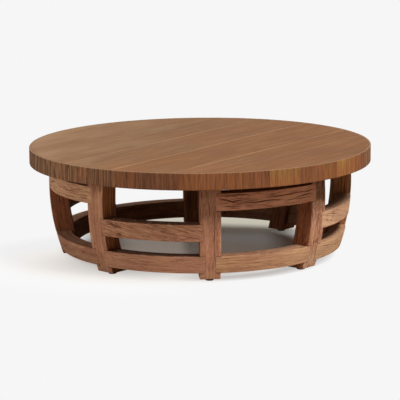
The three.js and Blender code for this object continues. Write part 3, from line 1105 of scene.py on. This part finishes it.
def outside_glow(paint, place, across, back, reach):
    """The glow outside the table, with the contact shadow at its front, faint at the left."""
    contact = paint.ramp(paint.length(place), *CONTACT_EDGE, first=0.52, last=0)
    contact = paint.times(contact, paint.ramp(back, *CONTACT_BACK_EDGE, first=1, last=0))
    contact = paint.times(contact, paint.ramp(across, *CONTACT_LEFT_EDGE, first=0.1, last=1))
    ring = paint.ramp(reach, *SHADOW_EDGE, first=0.53, last=0.92)
    ring = paint.math("MINIMUM", ring, paint.rest_of(contact))
    far = paint.ramp(reach, *CLEAR_EDGE, last=0.08)
    right = paint.ramp(across, *CLEAR_LEFT_EDGE, last=0.08)
    return paint.plus(ring, paint.math("MAXIMUM", far, right))


def under_glow(paint, across):
    glow = 0
    for step in UNDER_STEPS:
        glow = paint.plus(glow, paint.ramp(across, *step))
    return glow


def behind_zone(paint, across, back):
    """1 on the floor behind the table's middle, which is seen between the posts, and 0 elsewhere."""
    middle = paint.ramp(paint.math("ABSOLUTE", across), *BEHIND_SIDE_EDGE, first=1, last=0)
    middle = paint.times(middle, paint.ramp(back, *BEHIND_BACK_EDGE, first=1, last=0))
    return paint.times(paint.ramp(back, *BEHIND_FRONT_EDGE), middle)


def floor_paint():
    paint = new_paint("pale_floor", gloss=0)
    paint.shader.inputs["Roughness"].default_value = 1
    seen = paint.add("LightPath").outputs["Is Camera Ray"]
    place = paint.place()
    across, back, _ = paint.parts(place)
    outside = paint.ramp(paint.length(paint.scaled(place, **BASE_STRETCH)), *BASE_EDGE)
    reach = paint.length(paint.scaled(place, **SHADOW_STRETCH))
    behind = behind_zone(paint, across, back)
    # Behind the table the glow's share paints the edge of the table's shadow on the floor seen between the
    # posts
    slanting = paint.math("MULTIPLY_ADD", across, BEHIND_SLOPE, back)
    behind_glow = paint.ramp(slanting, *BEHIND_SHADOW_EDGE, first=0.07, last=0.58)
    lit = paint.blend(outside, FLOOR_UNDER_PAINTED_BOUNCE, FLOOR_OUTSIDE)
    paint.feed(paint.blend(seen, FLOOR_BOUNCE, lit), paint.shader.inputs["Base Color"])
    share = paint.plus(
        paint.times(under_glow(paint, across), paint.rest_of(outside)),
        paint.times(outside_glow(paint, place, across, back, reach), outside),
    )
    share = paint.plus(
        paint.times(share, paint.rest_of(behind)),
        paint.times(behind_glow, behind),
    )
    # Painted warm tint in the shadow near the table, and painted beige shade on the floor behind it
    tint = paint.blend(outside, "f2e3d3", "f6f1ec")
    tint = paint.blend(paint.ramp(reach, *SHADOW_TINT_EDGE), tint, BACKDROP)
    glow = paint.add("Emission", paint.blend(behind, tint, "f6efdc"))
    paint.mix_shaders(paint.times(share, seen), paint.shader, glow, "Material Output")
    return paint.owner


def make_floor():
    mesh = bpy.data.meshes.new("floor")
    corners = [(FLOOR_REACH * x, FLOOR_REACH * y, 0) for x, y in ((-1, -1), (1, -1), (1, 1), (-1, 1))]
    mesh.from_pydata(corners, [], [(0, 1, 2, 3)])
    show("floor", mesh, floor_paint())


# Lights: two soft suns and a faint world

WORLD_LIGHT = 0.1
WHITE = (1, 1, 1, 1)


def make_world():
    """A faint even light. The camera, gloss and glass see the plain backdrop in its place."""
    world = bpy.data.worlds.new("world")
    paint = Paint(world)
    rays = paint.add("LightPath").outputs
    seen = paint.math("MAXIMUM", rays["Is Camera Ray"], rays["Is Glossy Ray"])
    seen = paint.math("MAXIMUM", seen, rays["Is Transmission Ray"])
    lit = paint.add("Background", WHITE, WORLD_LIGHT)
    backdrop = paint.add("Background", BACKDROP)
    paint.mix_shaders(seen, lit, backdrop, "World Output")
    bpy.context.scene.world = world


def make_sun(name, azimuth, elevation, energy, width):
    """A soft lamp that shines from an azimuth and elevation. All angles are in degrees."""
    lamp = bpy.data.lights.new(name, "SUN")
    lamp.energy = energy
    lamp.angle = math.radians(width)
    sun = show(name, lamp)
    sun.rotation_euler = (math.radians(90 - elevation), 0, math.radians(azimuth + 90))


def make_lights():
    make_world()
    make_sun("key", azimuth=-46, elevation=57.5, energy=5.35, width=18)
    make_sun("fill", azimuth=-165, elevation=22, energy=1.3, width=50)


# The whole table. Each timber has a seed of its own for its noise.

SEED_STEP = 10
BOTTOM_RAIL_SEED = 3
UPPER_RAIL_SEED = 6


def make_planks(material):
    back = DISC_RADIUS
    for number, share in enumerate(PLANK_WIDTH_SHARES, 1):
        front = back - share * 2 * DISC_RADIUS
        make_plank(number, front + CLEARANCE / 2, back - CLEARANCE / 2, material, SEED_STEP * number)
        back = front


def dress_table():
    weathered, brushed_edge, waxed = base_timber(), rim_timber(), top_timber()
    sawn, nylon = hidden_timber(), glide_nylon()
    for number in range(1, BAY_COUNT + 1):
        seed = SEED_STEP * number
        make_post(number, weathered, seed)
        make_rail("bottom", number, weathered, seed + BOTTOM_RAIL_SEED)
        make_rail(upper_kind(number), number, weathered, seed + UPPER_RAIL_SEED)
        make_band(number, brushed_edge)
        make_glide(number, nylon)
        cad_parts[f"rim_block_{number}"].data.materials[0] = sawn
    for number in (1, 2):
        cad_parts[f"batten_{number}"].data.materials[0] = sawn
    make_planks(waxed)


make_camera()
make_floor()
make_lights()
dress_table()
bpy.context.scene.view_settings.view_transform = "Standard"

bpy.context.view_layer.update()
